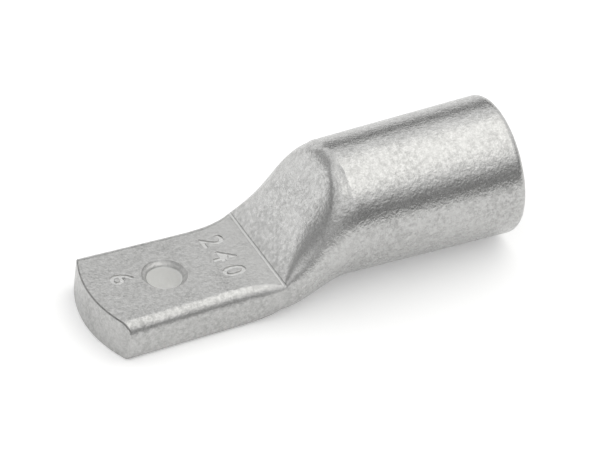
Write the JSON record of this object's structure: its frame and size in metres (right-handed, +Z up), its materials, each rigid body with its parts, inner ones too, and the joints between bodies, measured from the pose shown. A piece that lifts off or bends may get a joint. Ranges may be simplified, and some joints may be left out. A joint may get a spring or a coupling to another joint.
{
  "type": "tubular cable lug",
  "caption": "Tinned copper tube lug: a round barrel that a stranded conductor is crimped into, pressed through a ramp into a flat palm with a bolt hole.",
  "frame": {"origin": "centre of the bolt hole on the underside of the palm", "axes": "+X along the barrel to its open mouth, +Y across the palm, +Z up through the bolt hole"},
  "size_m": [0.0853, 0.027, 0.0272],
  "materials": {
    "tinned_copper": "tumbled satin tin plate over copper, with a fine pitted mottle"
  },
  "bodies": {
    "root": {"cable_lug": "tinned_copper"}
  },
  "joints": []
}
